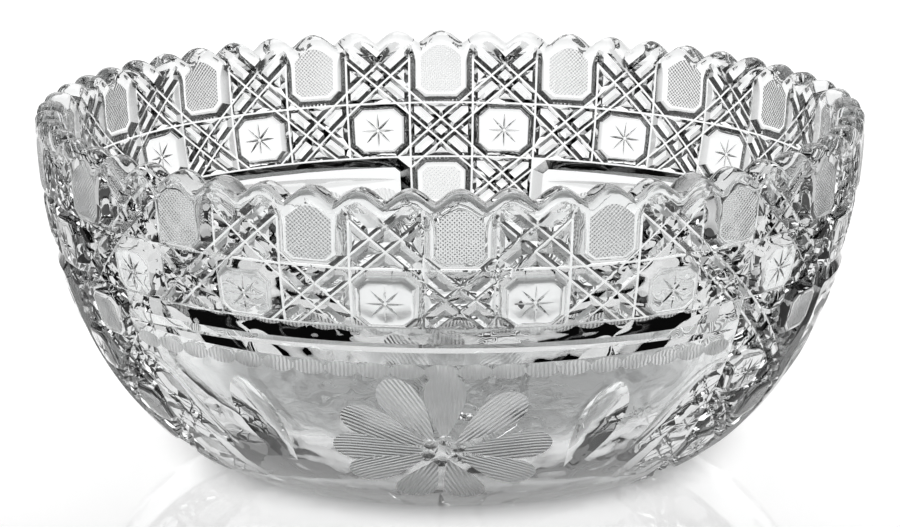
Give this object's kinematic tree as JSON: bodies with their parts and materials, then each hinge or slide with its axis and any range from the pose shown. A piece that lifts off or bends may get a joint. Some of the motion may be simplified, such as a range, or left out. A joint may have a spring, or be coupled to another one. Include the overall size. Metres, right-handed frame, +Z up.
{
  "type": "cut glass bowl",
  "caption": "Deep round bowl of thick clear cut glass with a scalloped rim, cane pattern of buttons and crossed mitre cuts, flowered panels and a flat foot.",
  "frame": {"origin": "centre of the flat foot, on the surface that the bowl stands on", "axes": "+Z up along the bowl's axis, -Y out through the middle of one flowered panel"},
  "size_m": [0.2028, 0.2028, 0.0874],
  "materials": {
    "crystal": "clear polished cut crystal, with matte engraving on the flower petals"
  },
  "bodies": {
    "root": {"glass_bowl": "crystal"}
  },
  "joints": []
}
